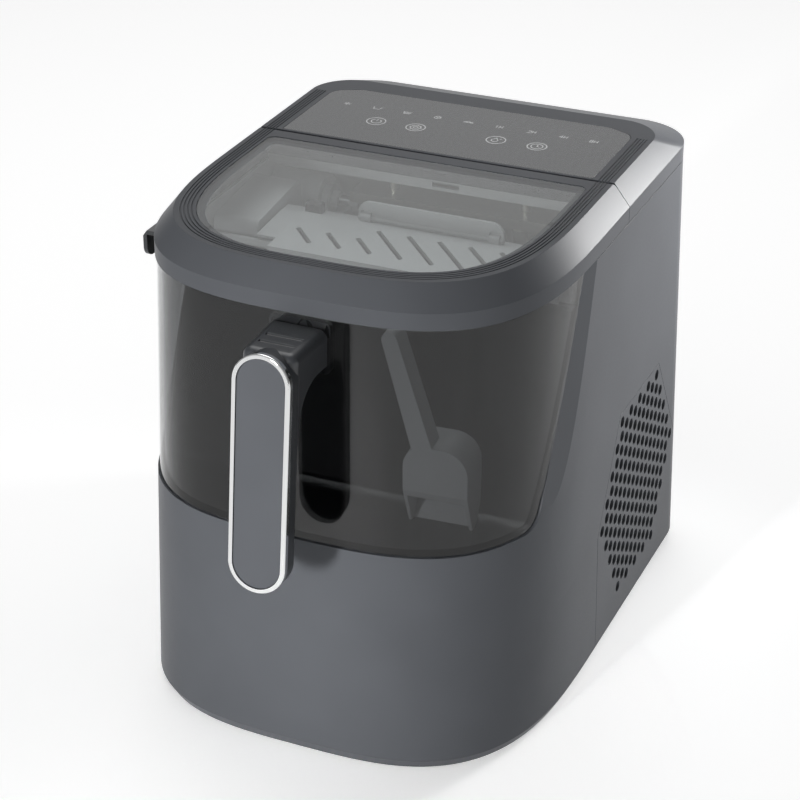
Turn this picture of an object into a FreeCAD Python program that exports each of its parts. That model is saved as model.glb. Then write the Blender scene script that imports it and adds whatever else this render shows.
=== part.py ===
import FreeCAD, Part
import math
import os

# Countertop ice maker with a pull-out clear drawer at the front, a lifting lid with a
# window, a touch panel behind the lid and a compressor, fan and condenser below.
# Millimetres. +X is to the right of someone facing the machine, +Y runs to its back, +Z is
# up. The shapes are drawn with Y = 0 near the foot of the front face and X = 0 on the
# middle plane, then moved so that the origin is the middle of the whole footprint, on the
# floor.

V = FreeCAD.Vector

# ---- casing: driving sizes ---------------------------------------------------------------
nose_power = 3.2          # exponent of the rounded nose in plan
nose_y = 150.0            # where the rounded nose meets the straight sides
seam_z = 256.9            # joint between the body and the cover or lid
seam_half = 115.0         # half width at the seam
seam_front = 17.0         # front of the nose at the seam
seam_rear = 319.0         # rear wall at the seam
seam_corner = 35.0        # radius of the rear corners
side_draft = 0.021        # how far each side leans out per millimetre down
front_draft = 0.056       # the same for the front
rear_draft = 0.020        # the same for the rear
body_z = 7.5              # lower edge of the body, above the bevelled base tray
tray_z = 1.5              # underside of the base tray
tray_bevel = 3.0          # how far the tray's underside is set in
wall = 2.6                # body wall
seam_gap = 0.4            # gap between body and cover
floor_t = 3.0             # base tray floor

# ---- rim of the top cover and lid --------------------------------------------------------
band_h = 9.2              # upright band above the seam
bevel_h = 12.2            # sloped rim above the band
top_z = seam_z + band_h + bevel_h
bevel_side = 9.4          # how far the sloped rim leans in at the sides
bevel_front = 9.5
bevel_rear = 35.8
ring_half = seam_half - bevel_side
ring_front = seam_front + bevel_front
ring_rear = seam_rear - bevel_rear
ring_corner = 25.0
rim_wall = 2.5
cover_skin = 4.5          # thicker top skin that carries the panel recess
hinge_y = 190.7           # joint between the lid and the fixed cover
hinge_gap = 0.5
groove_count = 4
groove_w = 0.8
groove_pitch = 1.8
groove_first = 3.0        # outer edge of the first groove, from the ring's edge
groove_d = 0.5

# ---- window in the lid -------------------------------------------------------------------
ring_w = 11.1             # flat ring beside the window
window_half = ring_half - ring_w
window_front = ring_front + ring_w
window_rear = hinge_y - ring_w
window_corner = 5.0
window_t = 2.0
window_ledge = 4.0
window_gap = 0.3
window_drop = 0.3         # the window lies this much below the ring

# ---- control panel -----------------------------------------------------------------------
panel_half = ring_half - 12.6
panel_front = hinge_y + 1.7
panel_rear = ring_rear - 15.2
panel_corner = 16.0
panel_t = 2.0
panel_gap = 0.25
pcb_t = 1.6
lamp_count = 9            # small lamps in a row behind the panel's rear icons
lamp_pitch = 19.0
lamp_y = panel_rear - 24.5
key_y = panel_rear - 44.0  # touch keys in front of them
key_places = (-49.0, -24.5, 24.5, 49.0)

# ---- lid hinge ---------------------------------------------------------------------------
hinge_r = 2.4             # rounding of the lid's rear edge, about the hinge axis
pin_r = 0.8
lug_r = 1.6
lug_w = 3.5
knuckle_w = 12.0
hinge_x = 70.0
run_fit = 0.05
side_clear = 0.4
tab_y = 80.0              # lifting tab at the lid's left edge
tab_w = 16.0
tab_drop = 13.2
tab_rise = 2.6            # top of the tab, above the seam
tab_t = 2.3
tab_gap = 0.9             # between the tab and the side of the moving drawer

# ---- drawer ------------------------------------------------------------------------------
bay_z = 130.4             # lower edge of the drawer opening
bay_foot_y = 69.5         # where the slanted rear edge would meet that level
bay_slope = 0.42          # run towards the back per millimetre of rise
bay_corner = 14.0
drawer_gap = 0.8
drawer_inset = 1.0        # drawer face sits back from the casing
drawer_wall = 2.4
drawer_top = seam_z - 0.9
slide_z = seam_z - 12.4   # front edge of the ice slide
drawer_back_z = slide_z - 6.5  # top of the drawer's rear wall, below the ice slide
bay_bevel_run = 44.0      # run of the bevel beside the bay, over 8 mm of depth
scoop_x = seam_half - 66.3     # front left corner of the scoop's bowl
scoop_y = seam_front + 19.9
scoop_turn = 4.0          # degrees about the upright
scoop_w = 35.0
scoop_depth = 24.0
scoop_h = 50.0
scoop_hood = 23.5         # height of the hood's front edge above the drawer floor
scoop_t = 1.8
stem_top = 112.0          # top of the scoop's handle above the drawer floor
stem_depth = 13.0
liner_t = 2.0
liner_gap = 1.5

# ---- drawer handle -----------------------------------------------------------------------
grip_w = 31.8
grip_h = 128.5
grip_t = 13.0
grip_top_z = seam_z - 4.4
grip_y = -22.6            # front plane of the grip at its top
grip_lean = 6.5           # degrees, foot leans outwards
trim_w = 2.4
trim_t = 3.4
inlay_t = 2.4
inlay_drop = 0.5
arm_top = seam_z - 6.4
arm_low = seam_z - 25.6
arm_w_wall = 33.0
arm_w_grip = 29.0
arm_blend = 22.0
screw_x = 7.5             # the handle's two screws

# ---- side grilles and rear cover ---------------------------------------------------------
grille_y = 221.5
grille_z = 80.9
hole_pitch = 7.866        # between columns
hole_r = 3.3
lobe_r = 70.0             # hexagon that bounds the rear cover on each side
cover_gap = 0.35
inlet_x = -68.0           # mains inlet
inlet_z = 44.0
inlet_half = 13.7
inlet_rise = 9.7          # half its height
drain_x = -30.0
drain_z = 26.0
drain_r = 6.0

# ---- ice mechanism -----------------------------------------------------------------------
mech_x = 12.0             # its middle lies right of centre, beside the drive housing
slide_front = 110.0
slide_rear = 155.5
slide_rise = 2.5
slide_t = 2.0
slot_pitch = 18.0
slot_w = 2.8
flap_y = 160.0
flap_z = slide_z + 3.1
flap_half = 43.0
flap_h = 10.0
flap_t = 1.8
barrel_r = 1.6
tray_axis_y = 202.0
tray_r = 28.0
tray_t = 1.8
tray_half = 66.0
shaft_r = 3.0
finger_r = 4.5
finger_len = 27.0
finger_pitch = 27.4
finger_row = 12.0
evap_z = slide_z - 1.5
evap_t = 6.0
tub_half = seam_half - wall - 4.4
tub_floor = seam_z - 53.9
tub_top = seam_z - 1.9
tub_rear = seam_rear - wall - 54.4
tub_t = 2.0
tray_axis_z = tub_floor + tub_t + tray_r + tray_t + 1.2
hood_z = tub_top + 6.0
hood_t = 2.0
tank_z = bay_z + 6.0
tank_top = tub_floor
tank_rear = tub_rear + 6.0
tank_half = tub_half - 4.0
tank_t = 2.0
line_r = 2.4              # copper lines
line_bend = 5.0
line_places = (mech_x + 72.0, mech_x + 80.0)
pump_x = -70.0
pump_y = 232.0

# ---- machinery ---------------------------------------------------------------------------
deck_z = tray_z + floor_t
comp_x = -48.0
comp_y = 112.0
comp_r = 41.0
comp_z = 24.0
comp_h = bay_z - comp_z - 8.4
grommet_h = 6.0
ear_t = 2.5
cond_x0 = seam_half - wall - 22.4
cond_t = 18.0
cond_half = 52.0
fan_x = cond_x0 - 20.0
fan_r = 43.0
fan_hub_r = 15.0
fan_motor_r = 17.0
fan_shaft_r = 1.5
tip_gap = 1.5
board_x = -(seam_half - wall - 16.4)
far = seam_half + 85.0    # half length of blocks that cut right through


# ---- geometry helpers --------------------------------------------------------------------
def outline(half, front, rear, corner, z):
    """Plan outline at height z: a superellipse nose, straight sides, rounded rear corners."""
    depth = nose_y - front
    steps = 36
    points = []
    for i in range(steps + 1):
        s = i / steps
        angle = math.pi * (s - math.sin(4 * math.pi * s) / (4 * math.pi))
        cx = math.cos(angle)
        sy = max(0.0, math.sin(angle))
        x = -half * math.copysign(abs(cx) ** (2 / nose_power), cx)
        y = nose_y - depth * sy ** (2 / nose_power)
        points.append(V(x, y, z))
    points[0] = V(-half, nose_y, z)
    points[-1] = V(half, nose_y, z)
    nose = Part.BSplineCurve()
    nose.interpolate(Points=points, InitialTangent=V(0, -1, 0), FinalTangent=V(0, 1, 0))
    k = corner * (1 - math.sqrt(0.5))
    right = Part.LineSegment(points[-1], V(half, rear - corner, z))
    arc_r = Part.Arc(V(half, rear - corner, z), V(half - k, rear - k, z), V(half - corner, rear, z))
    back = Part.LineSegment(V(half - corner, rear, z), V(corner - half, rear, z))
    arc_l = Part.Arc(V(corner - half, rear, z), V(k - half, rear - k, z), V(-half, rear - corner, z))
    left = Part.LineSegment(V(-half, rear - corner, z), points[0])
    return Part.Wire([e.toShape() for e in (nose, right, arc_r, back, arc_l, left)])


def body_outline(z, inset=0.0):
    """Outline of the drafted body at height z, set in by inset."""
    down = seam_z - z
    return outline(seam_half + side_draft * down - inset, seam_front - front_draft * down + inset,
                   seam_rear + rear_draft * down - inset, seam_corner - inset, z)


def body(z0, z1, inset=0.0):
    """Solid block of the body between two heights."""
    return Part.makeLoft([body_outline(z0, inset), body_outline(z1, inset)], True, True)


def rim(inset=0.0, skin=0.0, z0=seam_z):
    """Solid block of the band and bevel from z0 up to the top, set in by inset and skin."""
    band_z = seam_z + band_h
    args = (seam_half - inset, seam_front + inset, seam_rear - inset, seam_corner - inset)
    band = Part.makeLoft([outline(*args, z0), outline(*args, band_z)], True, True)
    ring = (ring_half - inset, ring_front + inset, ring_rear - inset, ring_corner - inset)
    bevel = Part.makeLoft([outline(*args, band_z), outline(*ring, top_z)], True, True)
    block = band.fuse(bevel)
    if skin:
        block = block.cut(Part.makeBox(400, 500, 100, V(-200, -50, top_z - skin)))
    return block


def slab(outer, inner, z0, z1):
    """Flat ring between two plan outlines, each given as (half, front, rear, corner)."""
    solid = Part.Face(outline(*outer, z0)).extrude(V(0, 0, z1 - z0))
    return solid.cut(Part.Face(outline(*inner, z0 - 1)).extrude(V(0, 0, z1 - z0 + 2)))


def rounded(points, radii):
    """Closed wire through the points, each corner rounded by its own radius (0 is sharp)."""
    edges = []
    ends = []
    count = len(points)
    for i, p in enumerate(points):
        r = radii[i] if isinstance(radii, (list, tuple)) else radii
        a = (points[i - 1] - p).normalize()
        b = (points[(i + 1) % count] - p).normalize()
        if r <= 0:
            ends.append((p, None, p))
            continue
        half = a.getAngle(b) / 2
        reach = r / math.tan(half)
        middle = (a + b).normalize()
        ends.append((p + a * reach, p + middle * (r / math.sin(half) - r), p + b * reach))
    for i in range(count):
        start, mid, end = ends[i]
        if mid is not None:
            edges.append(Part.Arc(start, mid, end).toShape())
        following = ends[(i + 1) % count][0]
        if (following - end).Length > 1e-6:
            edges.append(Part.LineSegment(end, following).toShape())
    return Part.Wire(edges)


def plate_x(points, x0, x1, radii=0.0):
    """Profile of (y, z) points carried along X from x0 to x1."""
    wire = rounded([V(x0, y, z) for y, z in points], radii)
    return Part.Face(wire).extrude(V(x1 - x0, 0, 0))


def plate_y(points, y0, y1, radii=0.0):
    """Profile of (x, z) points carried along Y."""
    wire = rounded([V(x, y0, z) for x, z in points], radii)
    return Part.Face(wire).extrude(V(0, y1 - y0, 0))


def plate_z(points, z0, z1, radii=0.0):
    """Profile of (x, y) points carried along Z."""
    wire = rounded([V(x, y, z0) for x, y in points], radii)
    return Part.Face(wire).extrude(V(0, 0, z1 - z0))


def box(x0, x1, y0, y1, z0, z1):
    return Part.makeBox(x1 - x0, y1 - y0, z1 - z0, V(x0, y0, z0))


def rod(r, start, end):
    """Cylinder of radius r between two points."""
    line = end - start
    return Part.makeCylinder(r, line.Length, start, line)


def tube(route, outer, inner, bend):
    """Pipe along straight runs joined by arcs of radius bend."""
    edges = []
    last = route[0]
    for i in range(1, len(route) - 1):
        a = (route[i - 1] - route[i]).normalize()
        b = (route[i + 1] - route[i]).normalize()
        half = a.getAngle(b) / 2
        reach = bend / math.tan(half)
        middle = (a + b).normalize()
        start = route[i] + a * reach
        edges.append(Part.LineSegment(last, start).toShape())
        mid = route[i] + middle * (bend / math.sin(half) - bend)
        edges.append(Part.Arc(start, mid, route[i] + b * reach).toShape())
        last = route[i] + b * reach
    edges.append(Part.LineSegment(last, route[-1]).toShape())
    path = Part.Wire(edges)
    direction = route[1] - route[0]
    ring = Part.Wire(Part.makeCircle(outer, route[0], direction))
    pipe = path.makePipeShell([ring], True, False)
    if inner:
        bore = Part.Wire(Part.makeCircle(inner, route[0], direction))
        pipe = pipe.cut(path.makePipeShell([bore], True, False))
    return pipe


def fused(shapes):
    """One solid from touching or overlapping shapes."""
    whole = shapes[0].fuse(shapes[1:]) if len(shapes) > 1 else shapes[0]
    return whole.removeSplitter()


def slot_shape(half_w, z0, z1, y0, y1):
    """Upright capsule between two heights, carried along Y."""
    top = z1 - half_w
    low = z0 + half_w
    edges = [Part.Arc(V(half_w, y0, top), V(0, y0, z1), V(-half_w, y0, top)).toShape(),
             Part.LineSegment(V(-half_w, y0, top), V(-half_w, y0, low)).toShape(),
             Part.Arc(V(-half_w, y0, low), V(0, y0, z0), V(half_w, y0, low)).toShape(),
             Part.LineSegment(V(half_w, y0, low), V(half_w, y0, top)).toShape()]
    return Part.Face(Part.Wire(edges)).extrude(V(0, y1 - y0, 0))


def ring_args(offset):
    """Ring outline set in by offset."""
    return (ring_half - offset, ring_front + offset, ring_rear - offset, ring_corner - offset)


def bay_line(z, offset=0.0):
    """Y of the slanted edge of the drawer bay at height z, moved back by offset square to it."""
    return bay_foot_y + bay_slope * (z - bay_z) + offset * math.hypot(1, bay_slope)


def bay_prism(offset, x_half, z1, z0=None):
    """Block of the drawer bay in side view, grown by offset at the back and below."""
    low = bay_z - offset if z0 is None else z0
    points = [(-80, low), (bay_line(low, offset), low), (bay_line(z1, offset), z1), (-80, z1)]
    return plate_x(points, -x_half, x_half, [0, bay_corner + offset, 0, 0])


def lobe(offset, x_half):
    """Side view of the rear cover: hexagon lobe, foot and rear, grown by offset."""
    r = lobe_r + offset
    h = r * math.sin(math.radians(60))
    points = [(grille_y - r, -20), (grille_y - r, grille_z), (grille_y - r / 2, grille_z + h),
              (grille_y + r / 2, grille_z + h), (grille_y + r, grille_z),
              (seam_rear + 80, grille_z), (seam_rear + 80, -20)]
    return plate_x(points, -x_half, x_half)


# ---- casing ------------------------------------------------------------------------------
def make_base_tray():
    low = body_outline(body_z, tray_bevel)
    low.translate(V(0, 0, tray_z - body_z))
    block = Part.makeLoft([low, body_outline(body_z)], True, True)
    inset = tray_bevel + wall
    hollow = body(deck_z, body_z + 1, inset)
    lip = body(deck_z, body_z + 5, wall + 0.2).cut(body(deck_z - 1, body_z + 6, wall + 2.2))
    rimmed = block.cut(hollow)
    bosses = [rod(7, V(x, y, deck_z - 0.5), V(x, y, deck_z + 4)) for x, y in grommet_places()]
    tray = fused([rimmed, lip] + bosses)
    for x, y in grommet_places():
        tray = tray.cut(rod(2, V(x, y, tray_z + 1), V(x, y, deck_z + 5)))
    for x, y in foot_places():
        tray = tray.cut(rod(3, V(x, y, 0), V(x, y, deck_z + 1)))
    for i in range(6):
        y = grille_y - 40 + i * 16
        tray = tray.cut(plate_z([(30, y), (84, y), (84, y + 5), (30, y + 5)], 0, deck_z + 1, 2.4))
    return tray


def foot_places():
    return [(side * (seam_half - 27), y) for side in (-1, 1) for y in (seam_front + 45, seam_rear - 37)]


def make_feet():
    feet = []
    for x, y in foot_places():
        pad = rod(9, V(x, y, 0), V(x, y, tray_z)).fuse(rod(3, V(x, y, tray_z), V(x, y, deck_z)))
        feet.append(pad.fuse(rod(5, V(x, y, deck_z), V(x, y, deck_z + 1.2))).removeSplitter())
    return Part.makeCompound(feet)


def casing_shell():
    top = seam_z - seam_gap
    return body(body_z, top).cut(body(body_z - 1, top + 1, wall))


def bay_bevel(side):
    """Wedge that bevels the slanted edge of the bay."""
    x0 = seam_half - wall - 0.4
    x1 = x0 + 8
    wires = []
    for x, run in ((x0, 0), (x1, bay_bevel_run)):
        corners = [V(side * x, bay_line(bay_z) - 20, bay_z), V(side * x, bay_line(seam_z) - 20, seam_z),
                   V(side * x, bay_line(seam_z) + run, seam_z),
                   V(side * x, bay_line(bay_z) + run, bay_z)]
        wires.append(Part.makePolygon(corners + [corners[0]]))
    return Part.makeLoft(wires, True, True)


def make_main_housing():
    shell = casing_shell()
    shell = shell.cut(bay_prism(0.0, 200, seam_z + 20))
    for side in (-1, 1):
        shell = shell.cut(bay_bevel(side))
    shell = shell.cut(lobe(cover_gap, 200))
    for i in range(9):
        z = 150 + i * 9
        louvre = plate_y([(-62, z), (62, z), (62, z + 4), (-62, z + 4)], seam_rear - 20, seam_rear + 20, 1.9)
        shell = shell.cut(louvre)
    return shell


def grille_cutters():
    """Round holes on a triangular grid that fills a hexagon, right through both sides."""
    rise = hole_pitch * 2 / math.sqrt(3)
    holes = []
    for j in range(-8, 9):
        limit = 6 - 1.5 * max(0, abs(j) - 4)
        k = -limit if (2 * limit - j) % 2 == 0 else -limit + 0.5
        while k <= limit + 1e-6:
            y = grille_y + j * hole_pitch
            z = grille_z + k * rise
            holes.append(rod(hole_r, V(-far, y, z), V(far, y, z)))
            k += 1
    return holes


def make_rear_cover():
    shell = casing_shell().common(lobe(0, 200))
    shell = shell.cut(Part.makeCompound(grille_cutters()))
    for i in range(5):
        z = 30 + i * 9
        vent = plate_y([(-10, z), (80, z), (80, z + 4), (-10, z + 4)], seam_rear - 10, seam_rear + 20, 1.9)
        shell = shell.cut(vent)
    half = inlet_half + 0.3
    rise = inlet_rise + 0.3
    shell = shell.cut(box(inlet_x - half, inlet_x + half, seam_rear - 10, seam_rear + 20,
                          inlet_z - rise, inlet_z + rise))
    shell = shell.cut(drain_rod(drain_r + 0.2, seam_rear - 10, seam_rear + 20))
    return shell


def cover_cut(y0, y1):
    """Block that keeps the part of the rim between two Y planes."""
    return box(-far, far, y0, y1, seam_z - 60, top_z + 20)


def ring_grooves():
    """Concentric grooves cut in the flat ring, on its front and sides."""
    cuts = []
    for i in range(groove_count):
        offset = groove_first + i * groove_pitch
        groove = slab(ring_args(offset), ring_args(offset + groove_w), top_z - groove_d, top_z + 1)
        cuts.append(groove.common(cover_cut(-50, ring_rear - ring_corner)))
    return Part.makeCompound(cuts)


def panel_outline(grow, z):
    """Panel plate: square at the front, cut and rounded corners at the rear."""
    x = panel_half + grow
    y0 = panel_front - grow
    y1 = panel_rear + grow
    c = panel_corner
    points = [V(-x, y0, z), V(x, y0, z), V(x, y1 - 0.45 * c, z), V(x - c, y1, z),
              V(c - x, y1, z), V(-x, y1 - 0.45 * c, z)]
    return rounded(points, [1.5, 1.5, c * 0.6, c * 0.6, c * 0.6, c * 0.6])


def make_top_cover():
    keep = cover_cut(hinge_y + hinge_gap / 2, 500)
    shell = rim().cut(rim(rim_wall, cover_skin, seam_z - 1))
    shell = shell.common(keep)
    front_y = hinge_y + hinge_gap / 2
    header = box(-ring_half + 1, ring_half - 1, front_y, front_y + 2, seam_z + 5.6, top_z - cover_skin + 1)
    header = header.cut(box(mech_x - 20, mech_x - 4, front_y - 1, front_y + 3, seam_z + 10, seam_z + 13.4))
    lugs = [hinge_lug(x) for x in lug_places()]
    cover = fused([shell, header] + lugs)
    cover = cover.cut(ring_grooves())
    recess = Part.Face(panel_outline(panel_gap, top_z - panel_t)).extrude(V(0, 0, panel_t + 1))
    cover = cover.cut(recess)
    well = Part.Face(panel_outline(-6, top_z - cover_skin - 1)).extrude(V(0, 0, cover_skin))
    cover = cover.cut(well)
    for x in lug_places():
        cover = cover.cut(rod(pin_r + run_fit, V(x - lug_w, hinge_axis().y, hinge_axis().z),
                              V(x + lug_w, hinge_axis().y, hinge_axis().z)))
    return cover


def hinge_axis():
    return V(0, hinge_y - hinge_gap / 2 - hinge_r, top_z - hinge_r)


def lug_places():
    """Middles of the four cover lugs along X."""
    reach = knuckle_w / 2 + side_clear + lug_w / 2
    return [side * hinge_x + s * reach for side in (-1, 1) for s in (-1, 1)]


def hinge_lug(x):
    """Fixed lug that reaches the hinge pin from below, on an arm from the cover's header."""
    axis = hinge_axis()
    half = lug_w / 2
    eye = rod(lug_r, V(x - half, axis.y, axis.z), V(x + half, axis.y, axis.z))
    stem = box(x - half, x + half, axis.y - 0.7, axis.y + 0.7, axis.z - 6.5, axis.z - 1)
    foot = box(x - half, x + half, axis.y - 0.7, hinge_y + hinge_gap / 2 + 1, axis.z - 8.3, axis.z - 6.5)
    return eye.fuse([stem, foot])


def window_args(grow):
    return (window_half + grow, window_front - grow, window_rear + grow, window_corner + grow)


def make_lid_frame():
    front = cover_cut(-50, hinge_y - hinge_gap / 2)
    shell = rim().cut(rim(rim_wall, rim_wall, seam_z - 1)).common(front)
    axis = hinge_axis()
    corner = box(-200, 200, axis.y, axis.y + 20, axis.z, axis.z + 20)
    round_bar = rod(hinge_r, V(-200, axis.y, axis.z), V(200, axis.y, axis.z))
    shell = shell.cut(corner.cut(round_bar))
    ledge_z = top_z - window_drop - window_t
    seat = slab(window_args(window_gap + 2), window_args(-window_ledge), ledge_z - 1.8, ledge_z)
    bridge = slab(window_args(window_gap + 2), window_args(window_gap), ledge_z - 1, top_z - 1)
    knuckles = [rod(hinge_r, V(s * hinge_x - knuckle_w / 2, axis.y, axis.z),
                    V(s * hinge_x + knuckle_w / 2, axis.y, axis.z)) for s in (-1, 1)]
    shell = fused([shell, seat, bridge] + knuckles)
    opening = Part.Face(outline(*window_args(window_gap), ledge_z)).extrude(V(0, 0, 20))
    shell = shell.cut(opening)
    throat = Part.Face(outline(*window_args(-window_ledge), ledge_z - 10)).extrude(V(0, 0, 20))
    shell = shell.cut(throat)
    shell = shell.cut(ring_grooves())
    half = lug_w / 2 + side_clear
    for x in lug_places():
        eye = rod(lug_r + 0.3, V(x - half, axis.y, axis.z), V(x + half, axis.y, axis.z))
        behind = plate_x([(axis.y, axis.z), (axis.y + 9, axis.z + 1.9), (axis.y + 9, axis.z - 12),
                          (axis.y - 6, axis.z - 12)], x - half, x + half)
        shell = shell.cut(eye.fuse(behind))
    for s in (-1, 1):
        middle = V(s * hinge_x, axis.y, axis.z)
        shell = shell.cut(rod(pin_r, middle - V(knuckle_w, 0, 0), middle + V(knuckle_w, 0, 0)))
    return shell


def make_lid_window():
    z = top_z - window_drop
    return Part.Face(outline(*window_args(0), z - window_t)).extrude(V(0, 0, window_t))


def make_hinge_pins():
    axis = hinge_axis()
    reach = knuckle_w / 2 + side_clear + lug_w
    return Part.makeCompound([rod(pin_r, V(s * hinge_x - reach, axis.y, axis.z),
                                  V(s * hinge_x + reach, axis.y, axis.z)) for s in (-1, 1)])


def make_lid_tab():
    """Rounded lifting tab at the lid's left edge: a short shelf and a lip outside the drawer."""
    x1 = -(seam_half + side_draft * tab_drop + tab_gap - drawer_inset)
    x0 = x1 - tab_t
    y0 = tab_y - tab_w / 2
    y1 = tab_y + tab_w / 2
    z1 = seam_z + tab_rise
    shelf = box(x0, -seam_half / 2, y0, y1, seam_z + 0.3, z1).cut(rim())
    shelf = max(shelf.Solids, key=lambda part: -part.BoundBox.XMin)
    z0 = seam_z - tab_drop
    lip = plate_x([(y0, z0), (y1, z0), (y1, z1), (y0, z1)], x0, x1, [6, 6, 0, 0])
    shoulder = plate_y([(x0 - 1, z1 + 1), (x1, z1 + 1), (x1, z1), (x0 - 1, z1 - 2 * tab_t)], y0 - 1, y1 + 1)
    return fused([shelf, lip]).cut(shoulder)


def make_control_panel():
    return Part.Face(panel_outline(0, top_z - panel_t)).extrude(V(0, 0, panel_t))


def make_control_board():
    z = top_z - cover_skin - 4
    edge = 10.0
    board = box(edge - panel_half, panel_half - edge, panel_front + edge, panel_rear - edge, z - pcb_t, z)
    lamps = []
    for i in range(lamp_count):
        x = (i - (lamp_count - 1) / 2) * lamp_pitch
        lamps.append(rod(2.4, V(x, lamp_y, z), V(x, lamp_y, z + 3.4)))
    for x in key_places:
        lamps.append(rod(5.4, V(x, key_y, z), V(x, key_y, z + 3.4)))
    return fused([board] + lamps)


# ---- drawer ------------------------------------------------------------------------------
def drawer_block(inset, gap, z1, z0=None):
    """Block of the drawer: body outline set in by inset, bay profile shrunk by gap."""
    block = body(bay_z - 10, z1 + 0.001, drawer_inset + inset)
    return block.common(bay_prism(-drawer_gap - gap, 200, z1, z0))


def make_drawer_bucket():
    outer = drawer_block(0, 0, drawer_top)
    inner = drawer_block(drawer_wall, drawer_wall, drawer_top + 20)
    inside = body(bay_z - 10, drawer_top + 20, drawer_inset + drawer_wall)
    spill = inside.common(box(-far, far, bay_line(drawer_back_z) - 12, 300, drawer_back_z, drawer_top + 20))
    y = drawer_face_y(arm_top)
    z = (arm_top + arm_low) / 2
    holes = [rod(1.7, V(x, y - 6, z), V(x, y + 8, z)) for x in (-screw_x, screw_x)]
    return outer.cut([inner, spill] + holes)


def drawer_face_y(z):
    """Front plane of the drawer on the middle plane at height z."""
    return seam_front - front_draft * (seam_z - z) + drawer_inset


def lean_out(shape):
    """Tilt a grip piece so that its foot leans outwards."""
    shape.rotate(V(0, grip_y, grip_top_z), V(1, 0, 0), -grip_lean)
    return shape


def grip_back(z):
    """Y of the grip's rear plane at height z."""
    return grip_y + grip_t - (grip_top_z - z) * math.tan(math.radians(grip_lean))


def make_drawer_handle():
    foot_z = grip_top_z - grip_h
    back_y = grip_y + grip_t + 2
    grip = slot_shape(grip_w / 2 - 0.4, foot_z + 0.4, grip_top_z - 0.4, grip_y + trim_t, back_y)
    rims = [e for e in grip.Edges if e.BoundBox.YMin > back_y - 0.1]
    grip = lean_out(grip.makeFillet(4.5, rims))
    wall_y = drawer_face_y(arm_top) + 3
    tail_z = arm_low - 30
    tail_y = grip_back(tail_z)
    knee = grip_back(arm_low)
    side = plate_x([(wall_y, arm_top), (grip_back(arm_top) - 6, arm_top), (tail_y - 6, tail_z),
                    (tail_y, tail_z), (knee + 4, arm_low), (wall_y, arm_low)],
                   -60, 60, [0, 5, 0, 0, arm_blend, 0])
    w0 = arm_w_wall / 2
    w1 = arm_w_grip / 2
    plan = plate_z([(-w0, wall_y), (-w1, tail_y - 6), (w1, tail_y - 6), (w0, wall_y)],
                   tail_z - 10, arm_top + 10)
    arm = side.common(plan)
    longs = [e for e in arm.Edges if e.BoundBox.ZMin > arm_top - 0.01 and e.BoundBox.YLength > 10]
    arm = arm.makeFillet(5.0, longs)
    for y in (knee + 7, knee + 15):
        arm = arm.cut(rod(1.4, V(-10, y, arm_top + 0.6), V(10, y, arm_top + 0.6)))
    handle = fused([grip, arm])
    handle = handle.cut(body(bay_z - 60, seam_z + 10, drawer_inset))
    for x in (-screw_x, screw_x):
        z = (arm_top + arm_low) / 2
        handle = handle.cut(rod(1.6, V(x, wall_y - 14, z), V(x, wall_y + 5, z)))
    return handle


def make_handle_trim():
    foot_z = grip_top_z - grip_h
    ring = slot_shape(grip_w / 2, foot_z, grip_top_z, grip_y, grip_y + trim_t)
    edge = [e for e in ring.Edges if e.BoundBox.YMax < grip_y + 0.01]
    ring = ring.makeFillet(0.9, edge)
    hole = slot_shape(grip_w / 2 - trim_w, foot_z + trim_w, grip_top_z - trim_w,
                      grip_y - 1, grip_y + trim_t + 1)
    return lean_out(ring.cut(hole))


def make_handle_inlay():
    foot_z = grip_top_z - grip_h
    m = trim_w + 0.15
    inlay = slot_shape(grip_w / 2 - m, foot_z + m, grip_top_z - m, grip_y + inlay_drop, grip_y + trim_t)
    edge = [e for e in inlay.Edges if e.BoundBox.YMax < grip_y + inlay_drop + 0.01]
    return lean_out(inlay.makeFillet(0.6, edge))


def make_handle_backplate():
    """Plate inside the drawer that the handle's screws pull against."""
    y = drawer_face_y(arm_top) + drawer_wall
    low = arm_low - 6
    high = arm_top + 2.5
    plate = plate_y([(-17, low), (17, low), (17, high), (-17, high)], y - 6, y + 3.4, 3)
    outside = body(bay_z - 10, seam_z + 20).cut(body(bay_z - 11, seam_z + 21, drawer_inset + drawer_wall))
    plate = plate.cut(outside)
    for x in (-screw_x, screw_x):
        z = (arm_top + arm_low) / 2
        plate = plate.cut(rod(1.7, V(x, y - 8, z), V(x, y + 8, z)))
    solids = sorted(plate.Solids, key=lambda s: -s.BoundBox.YMax)
    return solids[0]


def make_handle_screws():
    y = drawer_face_y(arm_top) + drawer_wall
    z = (arm_top + arm_low) / 2
    screws = []
    for x in (-screw_x, screw_x):
        shank = rod(1.5, V(x, y - 11, z), V(x, y + 3.4, z))
        head = rod(3.2, V(x, y + 3.4, z), V(x, y + 5.4, z))
        screws.append(shank.fuse(head).removeSplitter())
    return Part.makeCompound(screws)


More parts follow.
